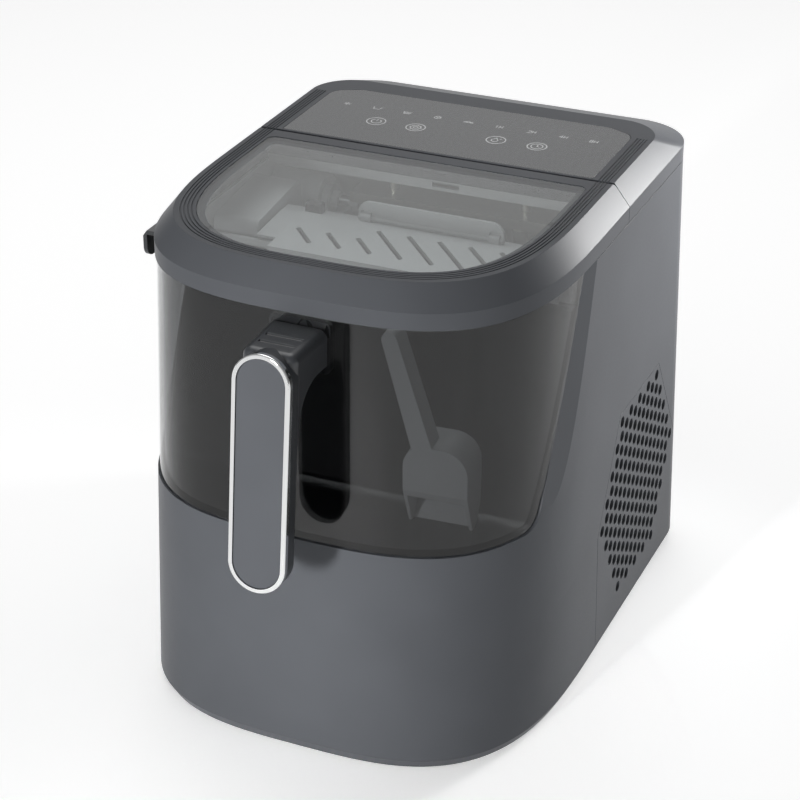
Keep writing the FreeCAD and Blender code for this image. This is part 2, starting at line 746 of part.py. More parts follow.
def make_scoop():
    """Ice scoop standing in the drawer, mouth down: a hooded bowl on a leaning channel handle."""
    w = scoop_w
    d = scoop_depth
    h = scoop_h
    t = scoop_t
    outer = plate_x([(0, scoop_hood), (0, h), (d, h), (d, 12), (d - 8, 0), (d - 14, 0)], 0, w)
    bowl = outer.common(plate_y([(0, 0), (w, 0), (w, h), (0, h)], -1, d + 1, [0, 0, 14, 12]))
    inner = plate_x([(t, -5), (t, h - t), (d - t, h - t), (d - t, 12.8), (d - t - 12, -5)], t, w - t)
    inner = inner.common(plate_y([(t, -6), (w - t, -6), (w - t, h - t), (t, h - t)], 0, d, [0, 0, 12, 10]))
    foot = h - 2
    stem = plate_y([(4.6, foot), (16.1, foot), (-4.1, stem_top), (-12.7, stem_top)],
                   0, stem_depth, [0, 0, 4, 4])
    groove = plate_y([(5.4, h + 2), (12.9, h + 2), (-4.7, stem_top - 4), (-9.7, stem_top - 4)],
                     t, stem_depth + 1, [0, 0, 2, 2])
    scoop = fused([bowl.cut(inner), stem.cut(groove)])
    scoop.rotate(V(0, 0, 0), V(0, 0, 1), scoop_turn)
    scoop.translate(V(scoop_x, scoop_y, bay_z + drawer_gap + drawer_wall))
    return scoop


# ---- drawer bay, ice chamber -------------------------------------------------------------
def make_bay_liner():
    """Folded sheet behind and below the drawer, parting it from the machinery."""
    z1 = slide_z - 6
    g = liner_gap
    outer = bay_prism(g + liner_t, 200, z1)
    inner = bay_prism(g, 200, z1 + 5)
    sheet = outer.cut(inner)
    keep = body(bay_z - 20, seam_z, wall + 0.4)
    return sheet.common(keep)


def make_ice_tub():
    """Pale tub behind the drawer that carries the ice mechanism."""
    front = liner_gap + liner_t + 2.0
    z1 = slide_z - 3.5
    outer = plate_x([(bay_line(tub_floor, front), tub_floor), (tub_rear, tub_floor), (tub_rear, tub_top),
                     (bay_line(z1, front), tub_top), (bay_line(z1, front), z1)], -tub_half, tub_half)
    t = tub_t
    inner = plate_x([(bay_line(tub_floor, front + t), tub_floor + t), (tub_rear - t, tub_floor + t),
                     (tub_rear - t, tub_top + 9), (-60, tub_top + 9), (-60, z1 + 20),
                     (bay_line(z1, front + t), z1)], -tub_half + t, tub_half - t)
    low = box(-tub_half + t, tub_half - t, -60, bay_line(z1, front) + 20, z1, tub_top + 9)
    tub = outer.cut(inner).cut(low)
    for x in line_places:
        tub = tub.cut(rod(3.4, V(x, tub_rear - 10, evap_z + 3), V(x, tub_rear + 10, evap_z + 3)))
    drain = box(mech_x - 20, mech_x + 20, tray_axis_y - 6, tray_axis_y + 6, tub_floor - 1, tub_floor + 5)
    tub = tub.cut(drain)
    return tub


def slide_height(y):
    return slide_z + slide_rise * (y - slide_front) / (slide_rear - slide_front)


def make_ice_slide():
    """Slotted plate that the ice slides over into the drawer."""
    x0 = -63.0
    x1 = tub_half - 4
    z0 = slide_height(slide_front)
    z1 = slide_height(slide_rear)
    t = slide_t
    plate = plate_x([(slide_front, z0), (slide_front, z0 - 3.4), (slide_front + 1.6, z0 - 3.4),
                     (slide_front + 2.6, z0 - t), (slide_rear, z1 - t), (slide_rear, z1)], x0, x1)
    wing = plate_x([(slide_front + 13, z0 - t), (slide_rear, z1 - t), (slide_rear, z1 - 0.6),
                    (slide_front + 13, z0 - 0.6)], x0 - 13, x0 + 1)
    plate = fused([plate, wing])
    for i in range(8):
        run = 14.0 if i < 3 else 25.0
        end_x = -42 + slot_pitch * i
        y = slide_front + 12
        a = V(end_x, y, 0)
        b = V(end_x - run, y + run * 1.07, 0)
        side = V(0.7, 0.7, 0) * slot_w
        points = [(p.x, p.y) for p in (a, b, b - side, a - side)]
        plate = plate.cut(plate_z(points, slide_z - 20, slide_z + 20, slot_w * 0.4))
    return plate


def make_ice_flap():
    """Low flap across the back of the slide that pushes the ice forward, on its own barrel."""
    z1 = flap_z + flap_h
    leaf = plate_y([(mech_x - flap_half, flap_z), (mech_x + flap_half, flap_z),
                    (mech_x + flap_half, z1), (mech_x - flap_half, z1)],
                   flap_y - flap_t / 2, flap_y + flap_t / 2, [0, 0, 7, 7])
    barrel = rod(barrel_r, V(mech_x - flap_half, flap_y, flap_z), V(mech_x + flap_half, flap_y, flap_z))
    flap = fused([leaf, barrel])
    for x in clip_places():
        notch = box(x - 3.4, x + 3.4, flap_y - 6, flap_y + 6, flap_z - 6, flap_z + 4.4)
        axle = rod(barrel_r, V(x - 4, flap_y, flap_z), V(x + 4, flap_y, flap_z))
        flap = flap.cut(notch.cut(axle))
    return flap


def clip_places():
    return [mech_x - flap_half + 5, mech_x + flap_half - 5]


def make_flap_clips():
    """Two small clips on the slide that the flap's barrel turns in."""
    clips = []
    for x in clip_places():
        clip = plate_x([(flap_y - 4, flap_z - 2.4), (flap_y + 4, flap_z - 2.4), (flap_y + 3, flap_z + 3),
                        (flap_y - 3, flap_z + 3)], x - 3, x + 3, [0, 0, 2, 2])
        clips.append(clip.cut(rod(barrel_r + run_fit, V(x - 9, flap_y, flap_z), V(x + 9, flap_y, flap_z))))
    return Part.makeCompound(clips)


def make_slide_bridge():
    """Cross rail under the back of the slide, from side to side of the tub."""
    z = slide_height(slide_rear - 6) - slide_t - 0.1
    x0 = -77.0
    x1 = tub_half - tub_t
    rail = box(x0, x1, slide_rear - 6, flap_y + 5, z - 4, z)
    step = box(x0, x1, slide_rear + 0.3, flap_y + 5, z - 1, flap_z - 2.4)
    return fused([rail, step])


def make_ice_sensors():
    """Two small sensor housings that see when the drawer is full."""
    parts = []
    for x in (-58.0, 86.0):
        z = flap_z - 2.4
        parts.append(plate_x([(flap_y - 4, z), (flap_y + 4, z), (flap_y + 4, z + 6), (flap_y - 2, z + 6)],
                             x - 4.5, x + 4.5, [0, 0, 1.5, 1.5]))
    return Part.makeCompound(parts)


def make_drive_housing():
    """Long cover beside the ice path, over the tilt drive's gears."""
    x0 = -tub_half + tub_t + 1
    x1 = -78.0
    y0 = 128.0
    y1 = 184.0
    low = tub_floor + tub_t
    profile = [(y0, low), (y1, low), (y1, tub_top - 1), (y0, tub_top - 7)]
    shell = plate_x(profile, x0, x1, [0, 0, 5, 5])
    t = 2.0
    inner = plate_x([(y0 + t, low - t), (y1 - t, low - t), (y1 - t, tub_top - 1 - t),
                     (y0 + t, tub_top - 7 - t)], x0 + t, x1 - t, [0, 0, 3, 3])
    return shell.cut(inner)


def make_tilt_motor():
    """Geared motor that turns the water tray."""
    y = tray_axis_y
    z = tray_axis_z
    drum = rod(14, V(-102, y, z), V(-70, y, z))
    cap = rod(9, V(-70, y, z), V(-66, y, z))
    nose = rod(5, V(-66, y, z), V(-62, y, z))
    foot = box(-100, -74, y - 12, y + 12, tub_floor + tub_t, z - 8)
    return fused([drum, cap, nose, foot])


def make_water_tray():
    """Half-round trough under the evaporator fingers; it tips forward about its own axis."""
    x0 = mech_x - tray_half
    x1 = mech_x + tray_half
    y = tray_axis_y
    z = tray_axis_z
    outer = rod(tray_r + tray_t, V(x0, y, z), V(x1, y, z))
    inner = rod(tray_r, V(x0 + tray_t, y, z), V(x1 - tray_t, y, z))
    upper = box(x0 - 5, x1 + 5, y - 60, y + 60, z, z + 60)
    trough = outer.cut(inner).cut(upper)
    hubs = []
    for a, b in ((x0, x0 + 6), (x1 - 6, x1)):
        hubs.append(rod(6, V(a, y, z), V(b, y, z)))
    trough = fused([trough] + hubs)
    return trough.cut(rod(shaft_r, V(x0 - 5, y, z), V(x0 + 5, y, z))).cut(
        rod(shaft_r, V(x1 - 5, y, z), V(x1 + 5, y, z)))


def make_tray_shafts():
    x0 = mech_x - tray_half
    x1 = mech_x + tray_half
    y = tray_axis_y
    z = tray_axis_z
    return Part.makeCompound([rod(shaft_r, V(x0 - 7.6, y, z), V(x0 + 5, y, z)),
                              rod(shaft_r, V(x1 - 5, y, z), V(x1 + 11, y, z))])


def make_tray_bearing():
    """Upright bracket that carries the tray's right shaft."""
    x = mech_x + tray_half + 4
    y = tray_axis_y
    z = tray_axis_z
    low = tub_floor + tub_t
    plate = plate_x([(y - 12, low), (y + 12, low), (y + 7, z + 7), (y - 7, z + 7)],
                    x, x + 6, [0, 0, 6, 6])
    return plate.cut(rod(shaft_r + run_fit, V(x - 2, y, z), V(x + 8, y, z)))


def make_evaporator():
    """Cold bar with two rows of fingers that hang into the water tray."""
    y = tray_axis_y
    bar = box(mech_x - 61, mech_x + 61, y - 15, y + 15, evap_z, evap_z + evap_t)
    parts = [bar]
    for row, count in ((-finger_row, 4), (finger_row, 5)):
        for i in range(count):
            x = mech_x + (i - (count - 1) / 2) * finger_pitch
            cone = Part.makeCone(finger_r, finger_r - 1.2, finger_len - 3, V(x, y + row, evap_z), V(0, 0, -1))
            tip = Part.makeSphere(finger_r - 1.2, V(x, y + row, evap_z - finger_len + 3))
            parts += [cone, tip]
    for x in (mech_x - 40, mech_x + 40):
        parts.append(rod(3, V(x, y, evap_z + evap_t), V(x, y, hood_z)))
    return fused(parts)


def make_evaporator_lines():
    """Two copper lines from the cold bar back through the tub and down to the machinery."""
    lines = []
    z = evap_z + 2
    for x, offset, drop in ((line_places[0], 2, 60.0), (line_places[1], -5, 70.0)):
        start = V(mech_x + 61, tray_axis_y + offset, z + 1)
        behind = tub_rear + 17
        route = [start, V(x, start.y, z + 1), V(x, behind, z + 1), V(x, behind, drop)]
        lines.append(tube(route, line_r, 0, line_bend))
    return Part.makeCompound(lines)


def make_evaporator_hood():
    """Pale sheet over the evaporator, with a front lip seen below the panel."""
    y0 = 195.0
    half = tub_half - 4
    top = box(-half, half, y0, tub_rear, hood_z, hood_z + hood_t)
    lip = box(-half, half, y0, y0 + hood_t, hood_z - 6, hood_z)
    seat = box(-half, half, tub_rear - tub_t, tub_rear, tub_top, hood_z)
    lip = lip.cut(box(mech_x - 14, mech_x + 2, y0 - 1, y0 + 3, hood_z - 4.2, hood_z - 1.4))
    return fused([top, lip, seat])


def make_water_tank():
    """Open water tank under the tub, with a slanted front beside the drawer bay."""
    front = liner_gap + liner_t + 2.0
    outer = plate_x([(bay_line(tank_z, front), tank_z), (tank_rear, tank_z), (tank_rear, tank_top),
                     (bay_line(tank_top, front), tank_top)], -tank_half, tank_half, [3, 3, 0, 0])
    t = tank_t
    inner = plate_x([(bay_line(tank_z + t, front + t), tank_z + t), (tank_rear - t, tank_z + t),
                     (tank_rear - t, tank_top + 20), (bay_line(tank_top + 20, front + t), tank_top + 20)],
                    -tank_half + t, tank_half - t, [2, 2, 0, 0])
    tank = outer.cut(inner)
    outlet_y = tank_rear - 18
    tank = tank.cut(rod(3.6, V(drain_x, outlet_y, tank_z - 5), V(drain_x, outlet_y, tank_z + 5)))
    return tank


def make_pump():
    """Small water pump standing in the tank."""
    z = tank_z + tank_t
    base = rod(19, V(pump_x, pump_y, z), V(pump_x, pump_y, z + 16))
    motor = rod(14, V(pump_x, pump_y, z + 16), V(pump_x, pump_y, z + 44))
    spout = rod(3.5, V(pump_x + 14, pump_y, z + 8), V(pump_x + 28, pump_y, z + 8))
    return fused([base, motor, spout])


def make_pump_hose():
    """Clear hose from the pump's spout up into the tub beside the tray."""
    z = tank_z + tank_t + 8
    route = [V(pump_x + 28, pump_y, z), V(pump_x + 44, pump_y, z), V(pump_x + 44, pump_y, tub_floor - 1.5)]
    return tube(route, 4.0, 2.5, 10)


# ---- machinery ---------------------------------------------------------------------------
def grommet_places():
    reach = comp_r + 6
    return [(comp_x + reach * math.cos(a), comp_y + reach * math.sin(a)) for a in
            (math.radians(90), math.radians(210), math.radians(330))]


def make_compressor():
    """Hermetic compressor: welded pot with three mounting ears and its line stubs."""
    pot = rod(comp_r, V(comp_x, comp_y, comp_z), V(comp_x, comp_y, comp_z + comp_h))
    rims = [e for e in pot.Edges if e.Closed]
    pot = pot.makeFillet(14, rims)
    belt = rod(comp_r + 1.5, V(comp_x, comp_y, comp_z + 52), V(comp_x, comp_y, comp_z + 57))
    parts = [pot, belt]
    ear_z = deck_z + 4 + grommet_h
    for x, y in grommet_places():
        ear = rod(9, V(x, y, ear_z), V(x, y, ear_z + ear_t))
        arm = rod(6, V(comp_x, comp_y, ear_z + 3), V(x, y, ear_z + 3))
        parts += [ear, arm.common(box(-far, far, -50, 400, ear_z, ear_z + ear_t))]
    parts.append(rod(14, V(comp_x, comp_y, ear_z), V(comp_x, comp_y, comp_z + 8)))
    parts.append(box(comp_x - 18, comp_x + 18, comp_y + comp_r - 6, comp_y + comp_r + 14, 40, 78))
    pot = fused(parts)
    for x, y in grommet_places():
        pot = pot.cut(rod(5, V(x, y, 0), V(x, y, deck_z + 14)))
    return pot


def make_grommets():
    grommets = []
    for x, y in grommet_places():
        z = deck_z + 4
        ear_z = z + grommet_h
        foot = rod(7, V(x, y, z), V(x, y, ear_z))
        neck = rod(5, V(x, y, ear_z), V(x, y, ear_z + ear_t))
        cap = rod(7, V(x, y, ear_z + ear_t), V(x, y, ear_z + 2 * ear_t))
        grommet = foot.fuse([neck, cap]).cut(rod(2, V(x, y, deck_z), V(x, y, ear_z + 10)))
        grommets.append(grommet.removeSplitter())
    return Part.makeCompound(grommets)


def make_grommet_screws():
    screws = []
    for x, y in grommet_places():
        z = deck_z + 4 + grommet_h + 2 * ear_t
        shank = rod(2, V(x, y, tray_z + 1), V(x, y, z))
        head = rod(5, V(x, y, z), V(x, y, z + 2.5))
        screws.append(shank.fuse(head).removeSplitter())
    return Part.makeCompound(screws)


def make_condenser():
    """Finned coil behind the right-hand grille: end plates, fins and hairpin tubes."""
    x0 = cond_x0
    x1 = cond_x0 + cond_t
    y0 = grille_y - cond_half
    y1 = grille_y + cond_half
    z0 = deck_z + 8
    z1 = z0 + 104
    parts = []
    for i in range(15):
        y = y0 + (y1 - y0) * i / 14
        t = 1.2 if i in (0, 14) else 0.6
        parts.append(box(x0, x1, y - t / 2, y + t / 2, z0, z1))
    for row in range(7):
        z = z0 + 10 + row * 14
        parts.append(rod(3.2, V(x0 + cond_t / 2, y0 - 6, z), V(x0 + cond_t / 2, y1 + 6, z)))
    for row in range(6):
        z = z0 + 10 + row * 14
        y = y1 + 4 if row % 2 == 0 else y0 - 4
        parts.append(rod(2.6, V(x0 + cond_t / 2, y, z), V(x0 + cond_t / 2, y, z + 14)))
    for y in (y0 + 6, y1 - 6):
        parts.append(box(x0 + 2, x1 - 2, y - 3.5, y + 3.5, deck_z, z0 + 1))
    return fused(parts)


def make_fan_shroud():
    """Square plate with a round duct between the fan and the condenser."""
    x1 = cond_x0 - 1
    z = grille_z - 14
    plate = box(x1 - 2, x1, grille_y - cond_half, grille_y + cond_half, deck_z, deck_z + 112)
    duct = rod(fan_r + tip_gap + 2, V(fan_x - 2, grille_y, z), V(x1 - 2, grille_y, z))
    bore = rod(fan_r + tip_gap, V(fan_x - 5, grille_y, z), V(x1 + 5, grille_y, z))
    spokes = []
    for i in range(3):
        arm = box(fan_x - 6, fan_x - 2, grille_y - 3, grille_y + 3, z, z + fan_r + tip_gap + 1.8)
        arm.rotate(V(0, grille_y, z), V(1, 0, 0), 120 * i)
        spokes.append(arm)
    ring = rod(fan_r + tip_gap + 2, V(fan_x - 6, grille_y, z), V(fan_x - 2, grille_y, z)).cut(bore)
    shroud = fused([plate, duct.cut(bore), ring]).cut(bore)
    shroud = fused([shroud] + spokes)
    return shroud.cut(rod(fan_motor_r, V(fan_x - 20, grille_y, z), V(fan_x - 1, grille_y, z)))


def fan_centre():
    return V(fan_x, grille_y, grille_z - 14)


def make_fan_motor():
    c = fan_centre()
    can = rod(fan_motor_r, V(c.x - 24, c.y, c.z), V(c.x - 2, c.y, c.z))
    shaft = rod(fan_shaft_r, V(c.x - 2, c.y, c.z), V(c.x + 8, c.y, c.z))
    return fused([can, shaft])


def make_fan_impeller():
    """Hub and seven pitched blades."""
    c = fan_centre()
    hub = rod(fan_hub_r, V(c.x - 1, c.y, c.z), V(c.x + 12, c.y, c.z))
    parts = [hub]
    for i in range(7):
        blade = box(-1, 1, -9, 9, fan_hub_r - 2, fan_r)
        blade.rotate(V(0, 0, 0), V(0, 0, 1), 32)
        blade.translate(V(c.x + 6, c.y, c.z))
        blade = blade.common(rod(fan_r, V(c.x - 5, c.y, c.z), V(c.x + 17, c.y, c.z)))
        blade.rotate(c, V(1, 0, 0), 360 / 7 * i)
        parts.append(blade)
    impeller = fused(parts)
    return impeller.cut(rod(fan_shaft_r + run_fit, V(c.x - 4, c.y, c.z), V(c.x + 8 + run_fit, c.y, c.z)))


def make_filter_drier():
    """Slim copper drier on its lines, clipped upright behind the compressor."""
    x = 20.0
    y = 132.0
    can = rod(8, V(x, y, 40), V(x, y, 92))
    upper = Part.makeCone(8, 3, 8, V(x, y, 92), V(0, 0, 1))
    lower = Part.makeCone(8, 3, 8, V(x, y, 40), V(0, 0, -1))
    stub = rod(3, V(x, y, 100), V(x, y, 108))
    stalk = rod(3, V(x, y, deck_z), V(x, y, 32))
    return fused([can, upper, lower, stub, stalk])


def make_discharge_line():
    """Copper line from the compressor to the condenser."""
    z = deck_z + 18
    start = V(comp_x + comp_r, comp_y - 6, z)
    route = [start, V(38, start.y, z), V(38, start.y, z + 12), V(cond_x0 + cond_t / 2, start.y, z + 12),
             V(cond_x0 + cond_t / 2, grille_y - cond_half - 7.2, z + 12)]
    return tube(route, line_r, 0, line_bend)


def make_main_board():
    """Power and control board on stand-offs beside the left grille."""
    x = board_x
    board = box(x, x + pcb_t, 176, 268, 26, 116)
    face = x + pcb_t
    parts = [board, box(face, x + 20, 186, 212, 34, 60), box(face, x + 14, 222, 240, 40, 76),
             rod(7, V(face, 254, 48), V(x + 26, 254, 48)), rod(5, V(face, 254, 70), V(x + 18, 254, 70)),
             box(face, x + 8, 186, 250, 94, 108)]
    for y in (182, 262):
        parts.append(box(face, x + 5, y - 3, y + 3, deck_z, 34))
    return fused(parts)


def make_power_inlet():
    """Appliance inlet in the rear cover, with three pins; the lead is left out."""
    y = seam_rear + rear_draft * (seam_z - inlet_z) - wall - 0.4
    skin = 2.2
    lip = 3.3
    shell = box(inlet_x - inlet_half, inlet_x + inlet_half, y - 20, y + wall + 0.6,
                inlet_z - inlet_rise, inlet_z + inlet_rise)
    flange = box(inlet_x - inlet_half - lip, inlet_x + inlet_half + lip, y - 3, y,
                 inlet_z - inlet_rise - lip, inlet_z + inlet_rise + lip)
    socket = box(inlet_x - inlet_half + skin, inlet_x + inlet_half - skin, y - 14, y + wall + 2,
                 inlet_z - inlet_rise + skin, inlet_z + inlet_rise - skin)
    parts = [shell.fuse(flange).cut(socket)]
    for x in (inlet_x - 7, inlet_x, inlet_x + 7):
        parts.append(rod(1.6, V(x, y - 16, inlet_z), V(x, y - 2, inlet_z)))
    return fused(parts)


def drain_y():
    """Inner face of the rear wall at the drain."""
    return seam_rear + rear_draft * (seam_z - drain_z) - wall - 0.3


def drain_rod(r, y0, y1):
    """Round bar on the drain's axis."""
    return rod(r, V(drain_x, y0, drain_z), V(drain_x, y1, drain_z))


def make_drain_port():
    """Drain spigot through the rear cover, fed from the bottom of the tank."""
    y = drain_y()
    spigot = fused([drain_rod(drain_r, y - 14, y + wall + 3), drain_rod(drain_r + 3, y - 3, y)])
    return spigot.cut(drain_rod(drain_r - 1.6, y - 9, y + 20)).cut(drain_rod(2.6, y - 20, y))


def make_drain_cap():
    """Push-in rubber plug with a finger rim."""
    y = drain_y()
    end = y + wall + 3.3
    return fused([drain_rod(drain_r - 1.6 - run_fit, y - 4, end), drain_rod(drain_r + 2.5, end, end + 3)])


def make_drain_hose():
    """Soft hose from the tank's outlet down to the drain port."""
    y = tank_rear - 18
    route = [V(drain_x, y, tank_z + 1), V(drain_x, y, drain_z), V(drain_x, drain_y() - 14, drain_z)]
    return tube(route, 3.6, 2.2, 16)


def make_body_screws():
    """Self-tapping screws that hold the tray to the casing and the cover to the body."""
    screws = []
    for x, y in ((70, seam_front + 23), (seam_half - 17, nose_y), (70, seam_rear - 19)):
        for side in (-1, 1):
            shank = rod(1.6, V(side * x, y, tray_z + 0.4), V(side * x, y, deck_z + 1.2))
            head = rod(3.4, V(side * x, y, deck_z + 1.2), V(side * x, y, deck_z + 3))
            screws.append(shank.fuse(head).removeSplitter())
    return Part.makeCompound(screws)


# ---- the whole machine -------------------------------------------------------------------
def all_parts():
    tray = make_base_tray()
    screws = make_body_screws()
    for screw in screws.Solids:
        tray = tray.cut(screw)
    return {
        "base_tray": tray,
        "feet": make_feet(),
        "body_screws": screws,
        "main_housing": make_main_housing(),
        "rear_cover": make_rear_cover(),
        "top_cover": make_top_cover(),
        "control_panel": make_control_panel(),
        "control_board": make_control_board(),
        "lid_frame": make_lid_frame(),
        "lid_window": make_lid_window(),
        "lid_hinge_pins": make_hinge_pins(),
        "lid_tab": make_lid_tab(),
        "drawer_bucket": make_drawer_bucket(),
        "drawer_handle": make_drawer_handle(),
        "handle_trim": make_handle_trim(),
        "handle_inlay": make_handle_inlay(),
        "handle_backplate": make_handle_backplate(),
        "handle_screws": make_handle_screws(),
        "ice_scoop": make_scoop(),
        "bay_liner": make_bay_liner(),
        "ice_tub": make_ice_tub(),
        "ice_slide": make_ice_slide(),
        "slide_rail": make_slide_bridge(),
        "ice_flap": make_ice_flap(),
        "flap_clips": make_flap_clips(),
        "ice_sensors": make_ice_sensors(),
        "drive_housing": make_drive_housing(),
        "tilt_motor": make_tilt_motor(),
        "water_tray": make_water_tray(),
        "tray_shafts": make_tray_shafts(),
        "tray_bearing": make_tray_bearing(),
        "evaporator": make_evaporator(),
        "evaporator_lines": make_evaporator_lines(),
        "evaporator_hood": make_evaporator_hood(),
        "water_tank": make_water_tank(),
        "water_pump": make_pump(),
        "pump_hose": make_pump_hose(),
        "drain_hose": make_drain_hose(),
        "drain_port": make_drain_port(),
        "drain_cap": make_drain_cap(),
        "compressor": make_compressor(),
        "compressor_grommets": make_grommets(),
        "grommet_screws": make_grommet_screws(),
        "discharge_line": make_discharge_line(),
        "filter_drier": make_filter_drier(),
        "condenser": make_condenser(),
        "fan_shroud": make_fan_shroud(),
        "fan_motor": make_fan_motor(),
        "fan_impeller": make_fan_impeller(),
        "main_board": make_main_board(),
        "power_inlet": make_power_inlet(),
    }


os.makedirs("parts", exist_ok=True)
pieces = all_parts()
whole = Part.makeCompound(list(pieces.values()))
extent = whole.optimalBoundingBox(False, False)
to_origin = V(0, -(extent.YMin + extent.YMax) / 2, 0)
print("moved by", to_origin, "box", extent)
for name, shape in pieces.items():
    placed = shape.copy()
    placed.translate(to_origin)
    print(name, "solids", len(placed.Solids), "valid", placed.isValid(), "volume", round(placed.Volume))
    placed.exportStep("parts/" + name + ".step")
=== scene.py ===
# Countertop ice maker: a moulded grey casing with a smoked clear ice drawer at the front, a
# lifting lid with a clear window, a printed touch panel and hexagonal air grilles.
import math

import bpy
import numpy as np
from mathutils import Matrix, Vector


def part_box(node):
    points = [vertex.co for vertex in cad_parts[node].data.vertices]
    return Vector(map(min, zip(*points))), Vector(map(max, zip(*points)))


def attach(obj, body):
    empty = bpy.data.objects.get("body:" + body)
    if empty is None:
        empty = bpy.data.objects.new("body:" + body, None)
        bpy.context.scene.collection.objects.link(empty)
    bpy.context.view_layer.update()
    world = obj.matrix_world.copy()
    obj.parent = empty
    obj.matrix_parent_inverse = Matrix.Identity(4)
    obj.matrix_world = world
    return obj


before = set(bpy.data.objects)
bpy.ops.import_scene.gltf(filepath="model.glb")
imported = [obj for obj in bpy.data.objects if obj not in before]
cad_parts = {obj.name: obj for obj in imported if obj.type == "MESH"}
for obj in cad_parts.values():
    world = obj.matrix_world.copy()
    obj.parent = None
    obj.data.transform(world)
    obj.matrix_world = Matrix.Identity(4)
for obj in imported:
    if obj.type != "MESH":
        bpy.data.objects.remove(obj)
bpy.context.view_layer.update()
scene = bpy.context.scene
mm = 0.001

# ---- studio ------------------------------------------------------------------------------
# White sweep table under soft lamps. The surroundings are dim, with one bright panel behind
# that the window mirrors and a softer one low in front.


def linear(code):
    """Linear red, green, blue and alpha of an sRGB hex colour: the standard sRGB curve."""
    shades = [int(code[i:i + 2], 16) / 255 for i in (1, 3, 5)]
    return [s / 12.92 if s <= 0.04045 else ((s + 0.055) / 1.055) ** 2.4 for s in shades] + [1.0]


def add(tree, kind, sockets=None, **settings):
    """Adds one shader node; sockets gives each input a value or the output that feeds it."""
    node = tree.nodes.new("ShaderNode" + kind)
    for name, value in settings.items():
        setattr(node, name, value)
    for name, value in (sockets or {}).items():
        if isinstance(value, bpy.types.NodeSocket):
            tree.links.new(value, node.inputs[name])
        else:
            node.inputs[name].default_value = value
    return node


def empty_material(name):
    """A new material with an empty node tree."""
    material = bpy.data.materials.new(name)
    material.use_nodes = True
    material.node_tree.nodes.clear()
    return material


scene.view_settings.view_transform = "Standard"
world = bpy.data.worlds.new("studio_light")
scene.world = world
world.use_nodes = True
world.node_tree.nodes.clear()
tree = world.node_tree
direction = add(tree, "TexCoord").outputs["Generated"]
level = 0.19
panel_behind = ((-0.15, 0.87, 0.47), 0.72, 0.93, 0.74)
panel_in_front = ((-0.3, -0.95, 0.05), 0.35, 0.95, 0.42)
for aim, low, high, gain in (panel_behind, panel_in_front):
    toward = add(tree, "VectorMath", {0: direction, 1: aim}, operation="DOT_PRODUCT").outputs["Value"]
    glow = add(tree, "MapRange", {"Value": toward, "From Min": low, "From Max": high, "To Max": gain},
               interpolation_type="SMOOTHSTEP").outputs[0]
    level = add(tree, "Math", {0: glow, 1: level}, operation="ADD").outputs[0]
background = add(tree, "Background", {"Color": linear("#ffffff"), "Strength": level})
add(tree, "OutputWorld", {"Surface": background.outputs[0]})

floor_half = 9.0
floor_mesh = bpy.data.meshes.new("studio_floor")
floor_mesh.from_pydata([(-floor_half, -floor_half, 0), (floor_half, -floor_half, 0),
                        (floor_half, floor_half, 0), (-floor_half, floor_half, 0)], [], [(0, 1, 2, 3)])
floor = bpy.data.objects.new("studio_floor", floor_mesh)
scene.collection.objects.link(floor)
paper = empty_material("white_paper_sweep")
tree = paper.node_tree
matt = add(tree, "BsdfPrincipled", {"Base Color": linear("#f2f2f2"), "Roughness": 0.75,
                                    "Emission Color": linear("#ffffff"), "Emission Strength": 0.42})
add(tree, "OutputMaterial", {"Surface": matt.outputs[0]})
floor_mesh.materials.append(paper)


def softbox(name, place, target, width, depth, power, spread=180.0):
    """Rectangular area lamp at a place, turned to face a target; spread is its beam in degrees."""
    lamp = bpy.data.lights.new(name, "AREA")
    lamp.shape = "RECTANGLE"
    lamp.size = width
    lamp.size_y = depth
    lamp.energy = power
    lamp.spread = math.radians(spread)
    lamp_object = bpy.data.objects.new(name, lamp)
    lamp_object.visible_camera = False
    aim = (Vector(target) - Vector(place)).to_track_quat("-Z", "Y")
    lamp_object.matrix_world = Matrix.Translation(place) @ aim.to_matrix().to_4x4()
    scene.collection.objects.link(lamp_object)


softbox("overhead_softbox", place=(-0.3, 0.5, 1.7), target=(0.0, 0.0, 0.1),
        width=1.2, depth=1.2, power=10)
softbox("front_beam", place=(-0.25, -1.5, 0.4), target=(0.0, -0.1, 0.12),
        width=0.12, depth=0.4, power=0.3, spread=14)
softbox("rear_right_lamp", place=(0.32, 0.42, 0.28), target=(0.12, 0.1, 0.24),
        width=0.12, depth=0.12, power=0.6, spread=75)

# ---- camera ------------------------------------------------------------------------------
# Long lens from the front right, looking down at the machine.
camera_place = (0.44837, -1.03310, 0.74285)
azimuth = math.radians(23.474)
elevation = math.radians(27.931)
roll = math.radians(0.05)
back = Vector((math.sin(azimuth) * math.cos(elevation), -math.cos(azimuth) * math.cos(elevation),
               math.sin(elevation)))
right = Vector((math.cos(azimuth), math.sin(azimuth), 0.0))
turn = Matrix.Rotation(roll, 3, back)
right = turn @ right
up = back.cross(right)
lens = bpy.data.cameras.new("camera")
lens.lens = 101.62
lens.sensor_width = 36.0
camera = bpy.data.objects.new("camera", lens)
axes = Matrix((right, up, back)).transposed().to_4x4()
camera.matrix_world = Matrix.Translation(camera_place) @ axes
scene.collection.objects.link(camera)
scene.camera = camera

# ---- grey casing -------------------------------------------------------------------------
# Shells, base tray, lid rim and handle inlay: injection moulded ABS, coloured through, from
# finely spark-eroded moulds. It looks satin, with a barely visible grain and soft edges.


